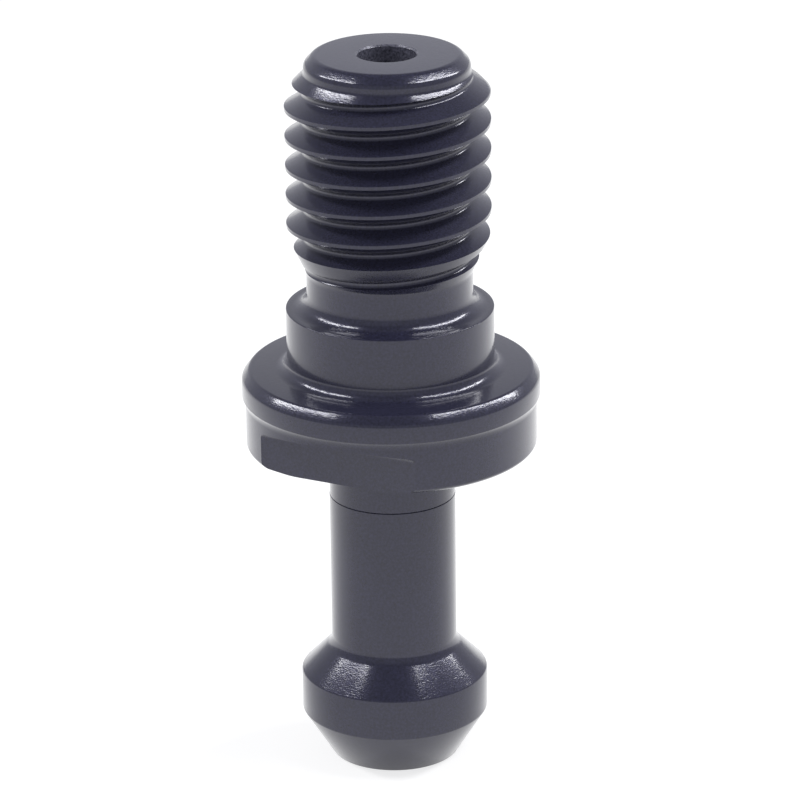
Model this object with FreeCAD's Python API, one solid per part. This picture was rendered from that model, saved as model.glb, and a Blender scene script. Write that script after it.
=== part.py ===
"""Pull stud for a small taper-shank tool holder: one piece of turned steel.

The stud stands on its gripping head, with the threaded shank up.  From the bottom it has the
gripping head with its 45 degree shoulder, the neck, the flange with two wrench flats, the
locating pilot, the thread relief and the M12 x 1.75 shank.  A coolant bore runs right through.

Millimetres.  Z is the stud's axis, Z = 0 is the end face of the head, and the wrench flats
face -Y and +Y.  The part is made in the order of the real one: the blank is turned, the
thread is cut, the flats are milled and the coolant bore is drilled.
"""
import FreeCAD, Part
import math
import os

from FreeCAD import Vector

# Gripping head and neck
head_dia = 11.0              # the land that the gripper closes round
head_end_dia = 7.5           # flat end face under the lead taper
head_taper_length = 2.8      # lead taper that opens the gripper
head_land_length = 2.4       # cylindrical land
grip_angle = 45.0            # shoulder that the gripper pulls on, from the axis
neck_dia = 7.4
neck_length = 12.2           # from the foot of the shoulder to the flange, corners left sharp
neck_head_fillet = 0.9
neck_flange_bevel = 0.3      # corner that the grooving tool leaves under the flange

# Flange with its rim and wrench flats
flange_thickness = 5.0
rim_dia = 17.4
rim_thickness = 1.6
rim_chamfer_width = 0.45
rim_chamfer_height = 0.55
rim_step = 0.2               # the wrench disc is turned this much under the rim
rim_step_length = 0.55       # cone from the wrench disc out to the rim
wrench_disc_chamfer = 0.2
face_bevel_width = 0.8       # the underside is bevelled inside that chamfer, as a nut's face is
face_bevel_angle = 16.0      # from the face
across_flats = 13.8          # takes a 14 mm spanner
flat_length = 2.3            # from the flange's underside up to the foot of the ledge
flat_ledge_angle = 17.0      # the ledge over the flat climbs outwards by this, from the face
flat_corner_radius = 0.3     # corner of the cutter that mills the flats

# Locating pilot
pilot_dia = 12.1
pilot_length = 3.7
pilot_root_fillet = 0.7

# Thread relief and threaded shank
relief_dia = 9.66
relief_length = 2.25         # from the pilot's face to the start of the run-out cone
relief_root_fillet = 0.9
runout_angle = 25.0          # run-out cone, from the axis
thread_major_dia = 11.85
thread_pitch = 1.75
thread_depth_ratio = 0.6134  # depth of an external metric thread, in pitches
thread_flank_angle = 30.0    # half of the 60 degree form
crest_flat_ratio = 0.125     # crest flat, in pitches
thread_start_angle = 97.5    # where the groove comes out in the relief, about the axis
shank_length = 15.2          # from the pilot's face to the end of the thread
lead_nose_dia = 9.6          # plain nose before the first thread
lead_nose_length = 1.07
lead_angle = 45.0            # lead chamfer between nose and thread
end_chamfer = 0.55

# Coolant bore
bore_dia = 3.4

# Radii worked out from the diameters
head_radius = head_dia / 2
neck_radius = neck_dia / 2
rim_radius = rim_dia / 2
disc_radius = rim_radius - rim_step
pilot_radius = pilot_dia / 2
relief_radius = relief_dia / 2
major_radius = thread_major_dia / 2
nose_radius = lead_nose_dia / 2

# Heights worked out from the lengths
shoulder_z = head_taper_length + head_land_length
neck_z = shoulder_z + (head_radius - neck_radius) / math.tan(math.radians(grip_angle))
flange_z = neck_z + neck_length
flange_top_z = flange_z + flange_thickness
rim_bottom_z = flange_top_z - rim_thickness
pilot_top_z = flange_top_z + pilot_length
runout_z = pilot_top_z + relief_length
top_z = pilot_top_z + shank_length
nose_z = top_z - lead_nose_length

# Reach of every cutter past the surface that it leaves by
overrun = 1.0
# The most of a straight side that one fillet may take
fillet_share = 0.45


def point(radius, height):
    """A point of the half section, radius along X and height along Z."""
    return Vector(radius, 0, height)


def corner_fillet(before, corner, after, radius):
    """Start, middle and end of the arc that rounds one corner, kept within the sides it joins."""
    side_before = before - corner
    side_after = after - corner
    shorter_side = min(side_before.Length, side_after.Length)
    half_angle = side_before.getAngle(side_after) / 2
    setback = min(radius / math.tan(half_angle), fillet_share * shorter_side)
    fitted_radius = setback * math.tan(half_angle)
    to_before = side_before.normalize()
    to_after = side_after.normalize()
    towards_centre = (to_before + to_after).normalize()
    middle = corner + towards_centre * (fitted_radius / math.sin(half_angle) - fitted_radius)
    return corner + to_before * setback, middle, corner + to_after * setback


def section_edges(outline):
    """Edges of a closed outline of (point, fillet radius) entries; radius 0 is a sharp corner."""
    count = len(outline)
    arcs = []
    for index, (corner, radius) in enumerate(outline):
        if radius:
            before = outline[index - 1][0]
            after = outline[(index + 1) % count][0]
            arcs.append(corner_fillet(before, corner, after, radius))
        else:
            arcs.append((corner, corner, corner))
    edges = []
    for index, (start, middle, end) in enumerate(arcs):
        if outline[index][1]:
            edges.append(Part.Arc(start, middle, end).toShape())
        edges.append(Part.LineSegment(end, arcs[(index + 1) % count][0]).toShape())
    return edges


def head_outline():
    """Head and neck, from the bottom of the axis up to the flange's underside."""
    return [
        (point(0, 0), 0),
        (point(head_end_dia / 2, 0), 0),
        (point(head_radius, head_taper_length), 0),
        (point(head_radius, shoulder_z), 0),
        (point(neck_radius, neck_z), neck_head_fillet),
        (point(neck_radius, flange_z - neck_flange_bevel), 0),
        (point(neck_radius + neck_flange_bevel, flange_z), 0),
    ]


def flange_outline():
    """Wrench disc and rim, from the underside's edge up to the pilot's root."""
    bevel_outer_radius = disc_radius - wrench_disc_chamfer
    bevel_rise = face_bevel_width * math.tan(math.radians(face_bevel_angle))
    return [
        (point(bevel_outer_radius - face_bevel_width, flange_z), 0),
        (point(bevel_outer_radius, flange_z + bevel_rise), 0),
        (point(disc_radius, flange_z + bevel_rise + wrench_disc_chamfer), 0),
        (point(disc_radius, rim_bottom_z - rim_step_length), 0),
        (point(rim_radius, rim_bottom_z), 0),
        (point(rim_radius, flange_top_z - rim_chamfer_height), 0),
        (point(rim_radius - rim_chamfer_width, flange_top_z), 0),
        (point(pilot_radius, flange_top_z), pilot_root_fillet),
    ]


def shank_outline():
    """Pilot, relief and shank, from the pilot's top edge up to the axis."""
    runout_height = (major_radius - relief_radius) / math.tan(math.radians(runout_angle))
    lead_height = (major_radius - nose_radius) / math.tan(math.radians(lead_angle))
    return [
        (point(pilot_radius, pilot_top_z), 0),
        (point(relief_radius, pilot_top_z), relief_root_fillet),
        (point(relief_radius, runout_z), 0),
        (point(major_radius, runout_z + runout_height), 0),
        (point(major_radius, nose_z - lead_height), 0),
        (point(nose_radius, nose_z), 0),
        (point(nose_radius, top_z - end_chamfer), 0),
        (point(nose_radius - end_chamfer, top_z), 0),
        (point(0, top_z), 0),
    ]


def turned(edges):
    """The solid that a closed outline of the half section makes on the lathe."""
    return Part.Face(Part.Wire(edges)).revolve(Vector(0, 0, 0), Vector(0, 0, 1), 360)


def groove_section():
    """Corners of the 60 degree groove's section, about its middle height.

    It stands a little proud of the thread's crest, by less than would let its turns touch.
    """
    depth = thread_depth_ratio * thread_pitch
    crest_flat = crest_flat_ratio * thread_pitch
    widening = math.tan(math.radians(thread_flank_angle))
    mouth_half = (thread_pitch - crest_flat) / 2
    root_half = mouth_half - depth * widening
    outer_half = mouth_half + crest_flat / 4
    root_radius = major_radius - depth
    outer_radius = major_radius + crest_flat / 4 / widening
    return [
        point(root_radius, -root_half),
        point(outer_radius, -outer_half),
        point(outer_radius, outer_half),
        point(root_radius, root_half),
    ]


def thread_groove():
    """The groove as a closed solid: ruled helical faces, one set a turn, and a flat end each."""
    section = groove_section()
    root_flat = section[3].z - section[0].z
    start_z = runout_z - root_flat
    turns = math.ceil((nose_z + root_flat - start_z) / thread_pitch)
    rails = []
    for corner in section:
        rail = Part.makeHelix(thread_pitch, thread_pitch, corner.x).Edges[0]
        rail.translate(Vector(0, 0, corner.z))
        rails.append(rail)
    faces = []
    for turn in range(turns):
        for index in range(len(rails)):
            face = Part.makeRuledSurface(rails[index - 1], rails[index])
            face.translate(Vector(0, 0, turn * thread_pitch))
            faces.append(face)
    for end_z in (0, turns * thread_pitch):
        end = Part.Face(Part.makePolygon(section + section[:1]))
        end.translate(Vector(0, 0, end_z))
        faces.append(end)
    skin = Part.makeCompound(faces)
    skin.sewShape()
    groove = Part.Solid(skin.Shells[0])
    groove.rotate(Vector(0, 0, 0), Vector(0, 0, 1), thread_start_angle)
    groove.translate(Vector(0, 0, start_z))
    return groove


def wrench_flat_cutter():
    """What the cutter takes off one side of the wrench disc; the flat faces -Y."""
    face_y = -across_flats / 2
    outside_y = -rim_radius - overrun
    bottom_z = flange_z - overrun
    ledge_foot_z = flange_z + flat_length
    climb = (face_y - outside_y) * math.tan(math.radians(flat_ledge_angle))
    half_width = rim_radius + overrun
    outline = [
        (Vector(-half_width, outside_y, bottom_z), 0),
        (Vector(-half_width, face_y, bottom_z), 0),
        (Vector(-half_width, face_y, ledge_foot_z), flat_corner_radius),
        (Vector(-half_width, outside_y, ledge_foot_z + climb), 0),
    ]
    return Part.Face(Part.Wire(section_edges(outline))).extrude(Vector(2 * half_width, 0, 0))


def mill_flats(stud):
    """Two parallel flats, half a turn apart."""
    cutter = wrench_flat_cutter()
    for angle in (0, 180):
        placed = cutter.copy()
        placed.rotate(Vector(0, 0, 0), Vector(0, 0, 1), angle)
        stud = stud.cut(placed)
    return stud


def drill_bore(stud):
    """The coolant bore, straight through on the axis."""
    drill = Part.makeCylinder(bore_dia / 2, top_z + 2 * overrun, Vector(0, 0, -overrun))
    return stud.cut(drill)


def pull_stud():
    """The whole stud, in the order in which it is made."""
    outline = head_outline() + flange_outline() + shank_outline()
    stud = turned(section_edges(outline)).cut(thread_groove())
    stud = mill_flats(stud)
    return drill_bore(stud)


def main():
    os.makedirs("parts", exist_ok=True)
    stud = pull_stud()
    stud.exportStep("parts/pull_stud.step")
    box = stud.optimalBoundingBox(True, False)
    print(f"pull_stud: {len(stud.Solids)} solid, {len(stud.Faces)} faces, {stud.Volume:.1f} mm3")
    print(f"box {box.XLength:.3f} x {box.YLength:.3f} x {box.ZLength:.3f} mm, valid {stud.isValid()}")


main()
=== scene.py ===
# %% [markdown]
# # A pull stud in black-oxided steel
#
# A pull stud screws into the small end of a tool holder, and the machine's drawbar grips its
# head to pull the holder into the spindle. It is one piece of steel, made in four steps: it is
# turned on a lathe, threaded, given two wrench flats on a mill, and drilled through for coolant.
# Then it is blackened in a hot oxide bath and oiled.
#
# This script models it in the same four steps. The turned blank is one outline spun about the
# axis, and each later step is a cutter taken away from it. A cutter carries the finish that its
# tool leaves, so every surface ends up with the marks of the step that made it.

# %% Load the frame
import math

import bmesh
import bpy
from mathutils import Matrix, Quaternion, Vector


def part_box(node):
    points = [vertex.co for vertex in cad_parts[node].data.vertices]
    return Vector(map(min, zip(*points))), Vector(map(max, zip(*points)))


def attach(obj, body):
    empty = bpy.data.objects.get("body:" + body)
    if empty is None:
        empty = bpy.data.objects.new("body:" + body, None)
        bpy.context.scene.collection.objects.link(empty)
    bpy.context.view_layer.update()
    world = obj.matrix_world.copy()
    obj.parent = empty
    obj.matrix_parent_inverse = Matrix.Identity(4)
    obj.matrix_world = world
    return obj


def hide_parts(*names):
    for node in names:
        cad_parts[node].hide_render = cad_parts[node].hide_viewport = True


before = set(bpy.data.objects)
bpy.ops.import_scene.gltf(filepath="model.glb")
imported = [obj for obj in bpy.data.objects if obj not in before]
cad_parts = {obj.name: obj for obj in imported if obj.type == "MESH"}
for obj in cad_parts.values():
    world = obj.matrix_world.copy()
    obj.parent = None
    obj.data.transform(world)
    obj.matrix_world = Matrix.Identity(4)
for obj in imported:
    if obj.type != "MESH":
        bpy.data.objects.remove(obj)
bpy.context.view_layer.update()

foot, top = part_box("pull_stud")
print("stud from", foot.z * 1000, "to", top.z * 1000, "mm")


# %% [markdown]
# ## The turned blank
#
# A lathe makes a solid of revolution, so the blank needs only half of its section: a line from
# the bottom of the axis, up along the outside, to the top of the axis. Each corner is a radius
# and a height in millimetres. It also says how far from the corner its rounding starts: the
# corners that a drawing calls fillets get a large one, and the sharp ones get the few hundredths
# that deburring leaves, because that thin rounding is what catches the light.

# %% Sizes, in millimetres
def mm(value):
    """Millimetres as metres, the unit of the frame."""
    return value / 1000


deburred = 0.06
flange_bottom, flange_top, pilot_top, stud_top = 19.2, 24.2, 27.9, 43.1
neck, disc, rim, pilot, relief = 3.7, 8.5, 8.7, 6.05, 4.83
neck_line = 16.33
step_bottom, step_top = 22.37, 22.6
thread_major, pitch = 5.925, 1.75
runout_foot, runout_top = 30.15, 32.50
lead_foot, nose, nose_foot = 40.905, 4.8, 42.03
rim_chamfer_width, end_chamfer = 0.45, 0.55

head_section = [
    (0, 0, 0),
    (3.75, 0, deburred),
    (5.5, 2.8, deburred),
    (5.5, 5.2, deburred),
    (neck, 7.0, 0.37),
]
neck_section = [
    (neck, 16.30, 0),
    (neck - 0.04, neck_line, 0),
    (neck - 0.015, 16.36, 0),
    (neck - 0.015, flange_bottom, 0.3),
]
flange_section = [
    (disc - 1.0, flange_bottom, 0.15),
    (disc - 0.2, flange_bottom + 0.229, 0.1),
    (disc, flange_bottom + 0.429, 0.1),
    (disc, step_bottom, 0.28),
    (rim, step_top, 0.03),
    (rim, flange_top - 0.55, 0.12),
    (rim - rim_chamfer_width, flange_top, 0.12),
    (pilot, flange_top, 0.7),
]
shank_section = [
    (pilot, pilot_top, deburred),
    (relief, pilot_top, 0.9),
    (relief, runout_foot, 0.15),
    (thread_major, runout_top, deburred),
    (thread_major, lead_foot, deburred),
    (nose, nose_foot, 0.1),
    (nose, stud_top - end_chamfer, 0.2),
    (nose - end_chamfer, stud_top, 0.2),
    (0, stud_top, 0),
]
section = head_section + neck_section + flange_section + shank_section
print("section corners:", len(section))


# %% [markdown]
# Rounding a corner of a flat outline is a bevel of its vertex. It works on a face, so the half
# section starts as one face. When its corners are round, the face and the edge along the axis
# are taken out, and what is left is spun once round.

# %% Round the corners and spin the outline
def rounded_outline(corners):
    """A bmesh with the corners' closed outline as one face, each corner rounded by its setback."""
    bm = bmesh.new()
    verts = [bm.verts.new((mm(radius), 0, mm(height))) for radius, height, _ in corners]
    bm.faces.new(verts)
    for setback in sorted({corner[2] for corner in corners} - {0}):
        chosen = [v for v, corner in zip(verts, corners) if corner[2] == setback]
        bmesh.ops.bevel(bm, geom=chosen, offset=mm(setback), offset_type="OFFSET",
                        affect="VERTICES", segments=3 if setback < 0.2 else 8,
                        profile=0.5, material=-1, clamp_overlap=True)
    return bm


def spun(bm, steps):
    """Spins the outline's edges once round Z, and closes the seam and the two poles."""
    bmesh.ops.delete(bm, geom=bm.faces[:], context="FACES_ONLY")
    on_axis = [e for e in bm.edges if max(abs(v.co.x) for v in e.verts) < mm(0.001)]
    bmesh.ops.delete(bm, geom=on_axis, context="EDGES")
    bmesh.ops.spin(bm, geom=bm.verts[:] + bm.edges[:], cent=(0, 0, 0), axis=(0, 0, 1),
                   angle=math.tau, steps=steps, use_merge=True)
    bmesh.ops.remove_doubles(bm, verts=bm.verts[:], dist=mm(0.001))
    bmesh.ops.recalc_face_normals(bm, faces=bm.faces[:])


def piece_from(bm, name, finish):
    """A piece at the origin with one finish, its place in its mesh."""
    mesh = bpy.data.meshes.new(name)
    bm.to_mesh(mesh)
    bm.free()
    mesh.materials.append(finish)
    piece = bpy.data.objects.new(name, mesh)
    bpy.context.scene.collection.objects.link(piece)
    print(name, len(mesh.vertices), "vertices,", len(mesh.polygons), "faces")
    return piece


# %% [markdown]
# ## The finishes
#
# Hot black oxide turns the outer micron of the steel into magnetite, and oil fills its pores.
# The eye sees a nearly black body under a thin clear film. The film reflects about four percent
# of what is in front of it, and much more at the rims, so the stud is dark where it faces the
# dark and light where it faces the light.
#
# A plain dark paint would miss both. So the shader's coat, with its usual index of 1.5, is the
# oil. Under it the body is part metallic, because the steel still shines a little through the
# thin oxide, and its own dielectric shine is turned down, because the coat already gives that.

# %% A helper for colours and one for nodes
def colour(code):
    """An sRGB hex code as the linear colour that a shader works with."""
    channels = [int(code[i:i + 2], 16) / 255 for i in (1, 3, 5)]
    linear = [c / 12.92 if c <= 0.04045 else ((c + 0.055) / 1.055) ** 2.4 for c in channels]
    return (*linear, 1.0)


def add(tree, kind, inputs=None, **settings):
    """Adds a node, sets its properties, and gives its sockets their values or links."""
    made = tree.nodes.new(kind)
    for name, value in settings.items():
        setattr(made, name, value)
    for key, value in (inputs or {}).items():
        if isinstance(value, bpy.types.NodeSocket):
            tree.links.new(value, made.inputs[key])
        else:
            made.inputs[key].default_value = value
    return made


print("the thick oxide as a linear colour:", [round(c, 4) for c in colour("#272737")])


# %% [markdown]
# Tool marks follow the tool's path, and on a lathe that path is round the axis. So the patterns
# are laid out on the distance along the axis and the distance from it, both in millimetres, and
# a noise is drawn out long in one direction and narrow in the other.

# %% Where a point is on the lathe
def lathe_place(tree):
    """Sockets for a point's X, Y, Z and radius on the piece, in millimetres."""
    object_place = add(tree, "ShaderNodeTexCoord").outputs["Object"]
    place = add(tree, "ShaderNodeVectorMath", {0: object_place, 1: (1000, 1000, 1000)},
                operation="MULTIPLY").outputs["Vector"]
    across = add(tree, "ShaderNodeVectorMath", {0: place, 1: (1, 1, 0)},
                 operation="MULTIPLY").outputs["Vector"]
    radius = add(tree, "ShaderNodeVectorMath", {0: across}, operation="LENGTH").outputs["Value"]
    axes = add(tree, "ShaderNodeSeparateXYZ", {0: place}).outputs
    return axes["X"], axes["Y"], axes["Z"], radius


def marks(tree, across_x, across_y, along, length, width, detail=2.0):
    """Noise drawn out into streaks of the given length and width, in millimetres."""
    spread = add(tree, "ShaderNodeCombineXYZ", {"X": across_x, "Y": across_y, "Z": along})
    scaled = add(tree, "ShaderNodeVectorMath",
                 {0: spread.outputs["Vector"], 1: (1 / length, 1 / length, 1 / width)},
                 operation="MULTIPLY")
    return add(tree, "ShaderNodeTexNoise",
               {"Vector": scaled.outputs["Vector"], "Scale": 1.0, "Detail": detail,
                "Roughness": 0.6}).outputs["Fac"]


# %% [markdown]
# Every finish has the same body and film. They differ in the streaks of their tool and in how
# deep these are: fine rings where the lathe tool runs straight, coarse broken ones where it cuts
# a slope, lines round the thread, straight lines on the milled flats, and a rough bore. The bore
# is given a much lighter body too. Part of that is the thinner oxide on a drilled wall, and part
# is painted light: it stands in for the glints that the lamps cannot reach inside the bore.

# %% The black film over a bump of tool marks
def black_oxide(name, height, depth, roughness, thin="#383850", thick="#272737"):
    """Black-oxided and oiled steel over tool marks of the given height pattern and depth.

    The oxide grows a little unevenly, so the body is mottled between its thin and thick colour.
    """
    finish = bpy.data.materials.new(name)
    finish.use_nodes = True
    tree = finish.node_tree
    tree.nodes.clear()
    bump = add(tree, "ShaderNodeBump",
               {"Height": height(tree), "Distance": mm(depth), "Strength": 1.0})
    x, y, z, _ = lathe_place(tree)
    # The real mottling is finer than this. It is drawn at 0.14 mm so that it shows.
    grains = marks(tree, x, y, z, 0.14, 0.14, detail=3.0)
    spread = add(tree, "ShaderNodeMapRange", {"Value": grains, "From Min": 0.3, "From Max": 0.7})
    # On a Mix node set to colour, socket 0 is the factor, 6 is A, 7 is B and output 2 the result.
    body = add(tree, "ShaderNodeMix",
               {0: spread.outputs[0], 6: colour(thick), 7: colour(thin)}, data_type="RGBA")
    film = add(tree, "ShaderNodeBsdfPrincipled",
               {"Base Color": body.outputs[2], "Metallic": 0.3, "Specular IOR Level": 0.2,
                "Roughness": 0.25, "Normal": bump.outputs["Normal"], "Coat Weight": 0.9,
                "Coat Roughness": roughness, "Coat Normal": bump.outputs["Normal"]})
    add(tree, "ShaderNodeOutputMaterial", {"Surface": film.outputs["BSDF"]})
    return finish


def turned_height(tree):
    """Rings that follow the tool's path, deeper on slopes than on straight turning."""
    x, y, z, radius = lathe_place(tree)
    along = add(tree, "ShaderNodeMath", {0: z, 1: radius}, operation="SUBTRACT").outputs[0]
    rings = marks(tree, x, y, along, 1.6, 0.09)
    chatter = marks(tree, x, y, along, 0.22, 0.10, detail=1.0)
    normal = add(tree, "ShaderNodeTexCoord").outputs["Normal"]
    upward = add(tree, "ShaderNodeSeparateXYZ", {0: normal}).outputs["Z"]
    slope = add(tree, "ShaderNodeMapRange",
                {"Value": upward, "From Min": 0.3, "From Max": 0.6, "To Min": 0.0,
                 "To Max": 1.0}, interpolation_type="SMOOTHSTEP").outputs[0]
    rough_part = add(tree, "ShaderNodeMath", {0: chatter, 1: slope}, operation="MULTIPLY")
    fine_part = add(tree, "ShaderNodeMath", {0: rings, 1: 0.12}, operation="MULTIPLY")
    return add(tree, "ShaderNodeMath", {0: rough_part.outputs[0], 1: fine_part.outputs[0]},
               operation="ADD").outputs[0]


def thread_height(tree):
    """Lines round the flanks, at one radius each."""
    x, y, _, radius = lathe_place(tree)
    return marks(tree, x, y, radius, 1.2, 0.08)


def milled_height(tree):
    """Straight lines along the cutter's feed."""
    x, _, z, _ = lathe_place(tree)
    return marks(tree, x, x, z, 2.5, 0.08)


def drilled_height(tree):
    """Broken rings down the bore."""
    x, y, z, _ = lathe_place(tree)
    return marks(tree, x, y, z, 0.5, 0.3, detail=3.0)


turned_finish = black_oxide("turned_black_oxide_steel", turned_height, 0.006, 0.12)
thread_finish = black_oxide("threaded_black_oxide_steel", thread_height, 0.003, 0.16)
milled_finish = black_oxide("milled_black_oxide_steel", milled_height, 0.001, 0.16)
# The bore's body colours are much lighter than the others. Part of that is the thinner oxide of a
# drilled wall, and part is painted light for the glints that the lamps don't reach in the bore.
drilled_finish_with_painted_light = black_oxide("drilled_black_oxide_steel_with_painted_light", drilled_height, 0.05, 0.25,
                              thin="#7c7c8c", thick="#3c3c46")
print("finishes:", len(bpy.data.materials))

# %% Turn the blank
steps_round = 192
outline = rounded_outline(section)
spun(outline, steps_round)
stud = piece_from(outline, "turned_stud", turned_finish)


# %% [markdown]
# ## Cutting
#
# The later steps take metal away, so each is a boolean difference. The cutter's material comes
# along with the faces that it leaves. After the cut the result is stored as the piece's own
# mesh, so that no live modifier and no cutter is left in the file.

# %% One function for every cut
def keep_result(piece):
    """Stores what the piece's modifiers make as its own mesh."""
    evaluated = piece.evaluated_get(bpy.context.evaluated_depsgraph_get())
    result = bpy.data.meshes.new_from_object(evaluated)
    piece.modifiers.clear()
    old, piece.data = piece.data, result
    bpy.data.meshes.remove(old)


def cut(piece, cutter):
    """Takes the cutter away from the piece, and the cutter out of the file."""
    boolean = piece.modifiers.new("cut", "BOOLEAN")
    boolean.operation = "DIFFERENCE"
    boolean.solver = "EXACT"
    boolean.material_mode = "TRANSFER"
    boolean.object = cutter
    keep_result(piece)
    cutter_mesh = cutter.data
    print("cut", cutter.name, "->", len(piece.data.polygons), "faces")
    bpy.data.objects.remove(cutter)
    bpy.data.meshes.remove(cutter_mesh)


# %% [markdown]
# ## The thread
#
# The thread is M12 with a pitch of 1.75 millimetres. Its crest is the blank's own cylinder, and
# only the groove between the turns is cut. The groove's section is a trapezoid with flanks 30
# degrees off square. Spin moves each copy a little along the axis as well, and with one pitch a
# turn that makes the helix. The trapezoid is a little wider than the groove at its mouth, which
# breaks the crest's edges.

# %% Cut the thread
def thread_cutter():
    """The closed helical body that the threading tool sweeps."""
    flank = math.tan(math.radians(30))
    depth = 0.6134 * pitch
    mouth = (pitch - pitch / 8) / 2
    root = mouth - depth * flank
    edge_break = 0.05
    groove = [
        (thread_major - depth, -root),
        (thread_major - edge_break, -mouth + edge_break * flank),
        (thread_major + edge_break, -mouth - edge_break),
        (thread_major + edge_break, mouth + edge_break),
        (thread_major - edge_break, mouth - edge_break * flank),
        (thread_major - depth, root),
    ]
    start_z = runout_foot - 2 * root
    turns = math.ceil((nose_foot + 2 * root - start_z) / pitch)
    start_angle = math.radians(97.5)
    bm = bmesh.new()
    verts = [
        bm.verts.new((mm(r) * math.cos(start_angle), mm(r) * math.sin(start_angle),
                      mm(start_z + z)))
        for r, z in groove
    ]
    bm.faces.new(verts)
    roots = [v for v in verts if v.co.xy.length < mm(thread_major - 0.5)]
    bmesh.ops.bevel(bm, geom=roots, offset=mm(0.12), offset_type="OFFSET",
                    affect="VERTICES", segments=3, profile=0.5, material=-1,
                    clamp_overlap=True)
    bmesh.ops.spin(bm, geom=bm.faces[:] + bm.edges[:] + bm.verts[:], cent=(0, 0, 0),
                   axis=(0, 0, 1), dvec=(0, 0, mm(pitch / steps_round)),
                   angle=math.tau * turns, steps=steps_round * turns)
    open_edges = [e for e in bm.edges if e.is_boundary]
    print("open edges of the groove:", len(open_edges), "turns:", turns)
    bmesh.ops.holes_fill(bm, edges=open_edges, sides=0)
    bmesh.ops.recalc_face_normals(bm, faces=bm.faces[:])
    return piece_from(bm, "thread_cutter", thread_finish)


cut(stud, thread_cutter())

# %% [markdown]
# ## The wrench flats and the bore
#
# The flats are milled into the lower step of the flange only, up to a ledge under the rim. The
# end mill's rounded corner leaves a small fillet along the ledge, which shows as a light line.

# %% Mill the flats
def flat_cutter(side):
    """The bar that the end mill clears on one side, -1 for the front and 1 for the back."""
    face_y, outside_y = side * 6.9, side * 10.0
    low, ledge_foot, ledge_end = flange_bottom - 1.0, flange_bottom + 2.3, flange_bottom + 3.25
    half_length = 12.0
    corners = [(outside_y, low), (face_y, low), (face_y, ledge_foot), (outside_y, ledge_end)]
    bm = bmesh.new()
    verts = [bm.verts.new((mm(-half_length), mm(y), mm(z))) for y, z in corners]
    bm.faces.new(verts)
    bmesh.ops.bevel(bm, geom=[verts[2]], offset=mm(0.22), offset_type="OFFSET",
                    affect="VERTICES", segments=8, profile=0.5, material=-1)
    extruded = bmesh.ops.extrude_face_region(bm, geom=bm.faces[:])["geom"]
    moved = [v for v in extruded if isinstance(v, bmesh.types.BMVert)]
    bmesh.ops.translate(bm, vec=(mm(2 * half_length), 0, 0), verts=moved)
    bmesh.ops.recalc_face_normals(bm, faces=bm.faces[:])
    return piece_from(bm, "flat_cutter", milled_finish)


cut(stud, flat_cutter(-1))
cut(stud, flat_cutter(1))


# %% [markdown]
# The bore carries coolant through the whole stud. The drill is spun from its own outline, which
# widens at each end, so that one cut makes the bore and takes the burr off both mouths.

# %% Drill the bore
def bore_cutter():
    """The drill, with the countersink that takes the burr off each mouth."""
    bore, countersink = 1.7, 0.1
    drill_section = [
        (0, -1, 0),
        (bore + countersink + 1, -1, 0),
        (bore, countersink, 0),
        (bore, stud_top - countersink, 0),
        (bore + countersink + 1, stud_top + 1, 0),
        (0, stud_top + 1, 0),
    ]
    bm = rounded_outline(drill_section)
    spun(bm, 96)
    return piece_from(bm, "bore_cutter", drilled_finish_with_painted_light)


cut(stud, bore_cutter())

# %% [markdown]
# ## Smooth shading
#
# The faces are small enough for a round outline, and smooth shading hides the rest. Edges
# sharper than 32 degrees stay sharp. Normals weighted by area keep the large straight surfaces
# flat in shade right up to the thin roundings, as on the real part.

# %% Shade the stud and put it in the frame
stud.data.shade_smooth()
stud.data.set_sharp_from_angle(angle=math.radians(32))
weighted = stud.modifiers.new("weighted_normals", "WEIGHTED_NORMAL")
weighted.mode = "FACE_AREA"
weighted.weight = 50
weighted.keep_sharp = True
keep_result(stud)
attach(stud, "root")
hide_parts("pull_stud")
print("stud:", len(stud.data.polygons), "faces,", [m.name for m in stud.data.materials])

# %% [markdown]
# ## Floor, light and camera
#
# A black glossy part is drawn by what it reflects. It stands on a white floor in a pale room
# with a dim ceiling and a long narrow soft box on each side. The walls mirror the white, the
# slopes mirror the dark, and the boxes make the streaks on the fillets and the shoulder.

# %% The floor
def white_floor():
    """A wide pale sheet, part painted and part lit from within, so that it keeps a shadow."""
    sheet = bpy.data.materials.new("white_studio_sheet")
    sheet.use_nodes = True
    tree = sheet.node_tree
    tree.nodes.clear()
    paths = add(tree, "ShaderNodeLightPath").outputs
    seen = add(tree, "ShaderNodeMath",
               {0: paths["Is Camera Ray"], 1: paths["Is Glossy Ray"]}, operation="MAXIMUM")
    seen = add(tree, "ShaderNodeMath",
               {0: seen.outputs[0], 1: paths["Is Transmission Ray"]}, operation="MAXIMUM")
    strength = add(tree, "ShaderNodeMath", {0: seen.outputs[0], 1: 0.74}, operation="MULTIPLY")
    paint = add(tree, "ShaderNodeBsdfDiffuse", {"Color": (0.42, 0.42, 0.42, 1)})
    glow = add(tree, "ShaderNodeEmission",
               {"Color": (1, 1, 1, 1), "Strength": strength.outputs[0]})
    both = add(tree, "ShaderNodeAddShader", {0: paint.outputs[0], 1: glow.outputs[0]})
    add(tree, "ShaderNodeOutputMaterial", {"Surface": both.outputs[0]})
    bm = bmesh.new()
    bmesh.ops.create_circle(bm, cap_ends=True, radius=4.0, segments=96)
    bmesh.ops.translate(bm, vec=(0, 0, foot.z), verts=bm.verts[:])
    floor = piece_from(bm, "floor", sheet)
    return floor


white_floor()


# %% [markdown]
# The room is a smooth change from a pale horizon to a dim ceiling. A flat white room would wash
# out the slopes, which mirror what is overhead. The two lamps are strips, because a strip gives
# a fillet a long thin streak, and a square box would give it a short thick one.

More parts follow.
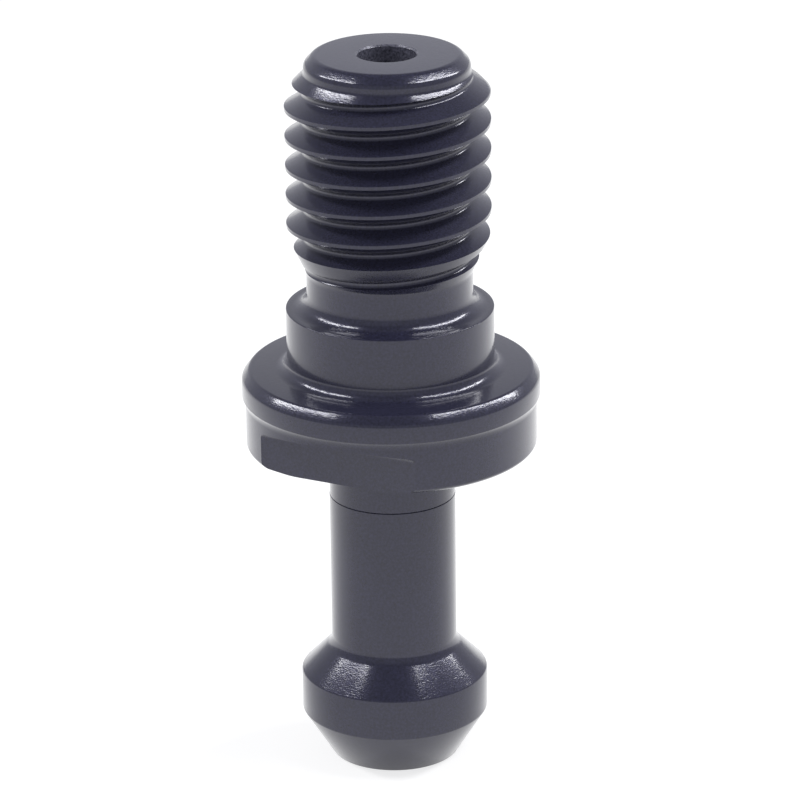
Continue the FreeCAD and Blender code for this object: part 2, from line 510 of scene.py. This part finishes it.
# %% The room's light
def studio_world():
    """Pale all round near the horizon, and a dim ceiling over that."""
    world = bpy.data.worlds.new("studio")
    bpy.context.scene.world = world
    world.use_nodes = True
    tree = world.node_tree
    tree.nodes.clear()
    direction = add(tree, "ShaderNodeTexCoord").outputs["Generated"]
    up = add(tree, "ShaderNodeSeparateXYZ", {0: direction}).outputs["Z"]
    level = add(tree, "ShaderNodeMapRange",
                {"Value": up, "From Min": 0.4, "From Max": 0.8, "To Min": 0.55,
                 "To Max": 0.25}, interpolation_type="SMOOTHSTEP")
    light = add(tree, "ShaderNodeBackground",
                {"Color": colour("#f4f5ff"), "Strength": level.outputs[0]})
    add(tree, "ShaderNodeOutputWorld", {"Surface": light.outputs[0]})


def direction_to(azimuth, elevation):
    """The unit vector towards an azimuth, from the front round to the right, and an elevation."""
    around, up = math.radians(azimuth), math.radians(elevation)
    return Vector((math.sin(around) * math.cos(up), -math.cos(around) * math.cos(up),
                   math.sin(up)))


def strip_box(name, low_end, high_end, distance, width, power):
    """A long soft box between two directions, facing the middle of the stud."""
    middle = (foot + top) / 2
    ends = [direction_to(*end) * distance for end in (low_end, high_end)]
    lamp = bpy.data.lights.new(name, "AREA")
    lamp.shape = "RECTANGLE"
    lamp.size = (ends[1] - ends[0]).length
    lamp.size_y = width
    lamp.energy = power
    box = bpy.data.objects.new(name, lamp)
    bpy.context.scene.collection.objects.link(box)
    centre = (ends[0] + ends[1]) / 2
    along = (ends[1] - ends[0]).normalized()
    away = centre.normalized()
    turn = Matrix((along, away.cross(along), away)).transposed()
    box.matrix_world = Matrix.Translation(middle + centre) @ turn.to_4x4()
    return box


studio_world()
view_azimuth = 27.0
lamp_distance, lamp_width = 0.25, 0.028
strip_box("left_soft_box", (view_azimuth - 113, 31), (view_azimuth - 62, 55),
          lamp_distance, lamp_width, 0.26)
strip_box("right_soft_box", (view_azimuth + 120, 26), (view_azimuth + 48, 59),
          lamp_distance, lamp_width, 0.34)
print("lamps:", len(bpy.data.lights))


# %% [markdown]
# The camera stands a quarter of a metre away and looks down by a little more than twenty
# degrees, turned 27 degrees from the front, with a long lens.

# %% The camera
def camera():
    """The view's camera; it looks at a point on the stud's axis, rolled a little."""
    lens = bpy.data.cameras.new("view")
    lens.sensor_width = 36
    lens.lens = 224.8
    lens.shift_x = 0.0109
    lens.clip_start = 0.01
    lens.clip_end = 20
    eye = bpy.data.objects.new("view", lens)
    bpy.context.scene.collection.objects.link(eye)
    around = math.radians(view_azimuth)
    distance, height, pitch_down = mm(272.96), mm(124.47), math.radians(20.57)
    eye.location = (math.sin(around) * distance, -math.cos(around) * distance, height)
    forward = Vector((-math.sin(around) * math.cos(pitch_down),
                      math.cos(around) * math.cos(pitch_down), -math.sin(pitch_down)))
    level = forward.to_track_quat("-Z", "Y")
    eye.rotation_mode = "QUATERNION"
    eye.rotation_quaternion = level @ Quaternion((0, 0, 1), math.radians(-0.75))
    bpy.context.scene.camera = eye
    return eye


view = camera()
bpy.context.scene.view_settings.view_transform = "Standard"
print("camera at", [round(c, 4) for c in view.location])
